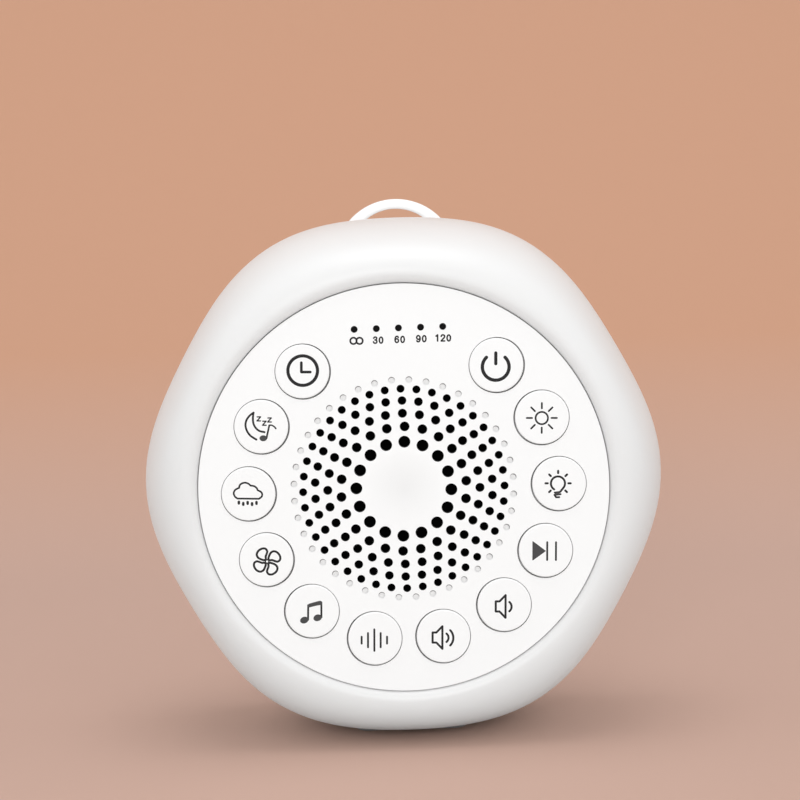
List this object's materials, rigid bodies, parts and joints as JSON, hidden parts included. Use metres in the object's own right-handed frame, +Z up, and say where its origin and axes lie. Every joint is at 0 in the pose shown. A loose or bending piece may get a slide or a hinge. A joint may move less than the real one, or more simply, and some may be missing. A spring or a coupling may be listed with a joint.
{
  "type": "white noise sound machine",
  "caption": "Softly hexagonal white noise sound machine with a flush round front panel, a ring of push buttons around a perforated grille, and a fold-out hanging loop on its back.",
  "frame": {"origin": "centre of the footprint at the height of the foot strips' underside", "axes": "+X to the right seen from the front, +Y from the front panel towards the back, +Z up"},
  "size_m": [0.1216, 0.055, 0.1249],
  "materials": {
    "panel_plastic": "fine satin",
    "diffuser_plastic": "milky satin",
    "shell_plastic": "satin",
    "frame_plastic": "moulded",
    "foot_silicone": "matt",
    "loop_plastic": "glossy",
    "button_plastic": "satin with printed pictogram",
    "plunger_plastic": "moulded",
    "switch_metal": "plain",
    "circuit_board": "solder mask",
    "led_resin": "clear resin",
    "smoked_window": "smoked",
    "speaker_mesh": "woven",
    "foam": "foam",
    "pressed_steel": "zinc plated",
    "surround_rubber": "matt",
    "cone_paper": "pressed paper",
    "spider_cloth": "woven",
    "copper_wire": "wound",
    "ferrite": "sintered",
    "white_board": "solder mask",
    "cell_wrap": "shrink wrap",
    "socket_steel": "drawn",
    "screw_steel": "plated",
    "lead_red": "insulation",
    "lead_white": "insulation"
  },
  "bodies": {
    "housing": {"front_panel": "panel_plastic", "front_shell": "diffuser_plastic", "rear_shell": "shell_plastic", "inner_frame": "frame_plastic", "front_foot": "foot_silicone", "rear_foot": "foot_silicone", "tact_switches": "switch_metal", "control_board": "circuit_board", "timer_leds": "led_resin", "timer_windows": "smoked_window", "dust_mesh": "speaker_mesh", "speaker_gasket": "foam", "speaker_basket": "pressed_steel", "speaker_surround": "surround_rubber", "speaker_spider": "spider_cloth", "speaker_top_plate": "pressed_steel", "speaker_magnet": "ferrite", "speaker_yoke": "pressed_steel", "night_light_board": "white_board", "night_light_leds": "led_resin", "battery_cell": "cell_wrap", "battery_tray": "frame_plastic", "usb_board": "circuit_board", "usb_socket": "socket_steel", "case_screws": "screw_steel", "board_screws": "screw_steel", "speaker_screws": "screw_steel", "tray_screws": "screw_steel", "speaker_leads": "lead_red", "battery_leads": "lead_red", "power_leads": "lead_white"},
    "button_timer": {"button_timer": "button_plastic", "plunger_timer": "plunger_plastic"},
    "button_sleep": {"button_sleep": "button_plastic", "plunger_sleep": "plunger_plastic"},
    "button_rain": {"button_rain": "button_plastic", "plunger_rain": "plunger_plastic"},
    "button_fan": {"button_fan": "button_plastic", "plunger_fan": "plunger_plastic"},
    "button_music": {"button_music": "button_plastic", "plunger_music": "plunger_plastic"},
    "button_white_noise": {"button_white_noise": "button_plastic", "plunger_white_noise": "plunger_plastic"},
    "button_volume_up": {"button_volume_up": "button_plastic", "plunger_volume_up": "plunger_plastic"},
    "button_volume_down": {"button_volume_down": "button_plastic", "plunger_volume_down": "plunger_plastic"},
    "button_play": {"button_play": "button_plastic", "plunger_play": "plunger_plastic"},
    "button_lamp": {"button_lamp": "button_plastic", "plunger_lamp": "plunger_plastic"},
    "button_brightness": {"button_brightness": "button_plastic", "plunger_brightness": "plunger_plastic"},
    "button_power": {"button_power": "button_plastic", "plunger_power": "plunger_plastic"},
    "cone": {"speaker_cone": "cone_paper", "speaker_dust_cap": "cone_paper", "voice_coil": "copper_wire"},
    "loop": {"hanging_loop": "loop_plastic"}
  },
  "joints": [
    {"name": "press_timer", "type": "slide", "parent": "housing", "child": "button_timer", "axis": [0, 1, 0], "range_m": [0, 0.0003], "stiffness_N_per_m": 1500},
    {"name": "press_sleep", "type": "slide", "parent": "housing", "child": "button_sleep", "axis": [0, 1, 0], "range_m": [0, 0.0003], "stiffness_N_per_m": 1500},
    {"name": "press_rain", "type": "slide", "parent": "housing", "child": "button_rain", "axis": [0, 1, 0], "range_m": [0, 0.0003], "stiffness_N_per_m": 1500},
    {"name": "press_fan", "type": "slide", "parent": "housing", "child": "button_fan", "axis": [0, 1, 0], "range_m": [0, 0.0003], "stiffness_N_per_m": 1500},
    {"name": "press_music", "type": "slide", "parent": "housing", "child": "button_music", "axis": [0, 1, 0], "range_m": [0, 0.0003], "stiffness_N_per_m": 1500},
    {"name": "press_white_noise", "type": "slide", "parent": "housing", "child": "button_white_noise", "axis": [0, 1, 0], "range_m": [0, 0.0003], "stiffness_N_per_m": 1500},
    {"name": "press_volume_up", "type": "slide", "parent": "housing", "child": "button_volume_up", "axis": [0, 1, 0], "range_m": [0, 0.0003], "stiffness_N_per_m": 1500},
    {"name": "press_volume_down", "type": "slide", "parent": "housing", "child": "button_volume_down", "axis": [0, 1, 0], "range_m": [0, 0.0003], "stiffness_N_per_m": 1500},
    {"name": "press_play", "type": "slide", "parent": "housing", "child": "button_play", "axis": [0, 1, 0], "range_m": [0, 0.0003], "stiffness_N_per_m": 1500},
    {"name": "press_lamp", "type": "slide", "parent": "housing", "child": "button_lamp", "axis": [0, 1, 0], "range_m": [0, 0.0003], "stiffness_N_per_m": 1500},
    {"name": "press_brightness", "type": "slide", "parent": "housing", "child": "button_brightness", "axis": [0, 1, 0], "range_m": [0, 0.0003], "stiffness_N_per_m": 1500},
    {"name": "press_power", "type": "slide", "parent": "housing", "child": "button_power", "axis": [0, 1, 0], "range_m": [0, 0.0003], "stiffness_N_per_m": 1500},
    {"name": "cone_travel", "type": "slide", "parent": "housing", "child": "cone", "axis": [0, -1, 0], "range_m": [-0.0008, 0.0008], "stiffness_N_per_m": 1400, "deforming": ["speaker_surround", "speaker_spider"]},
    {"name": "loop_fold", "type": "hinge", "parent": "housing", "child": "loop", "pos_m": [0, 0.02585, 0.10415], "axis": [-1, 0, 0], "range_deg": [0, 180]}
  ]
}
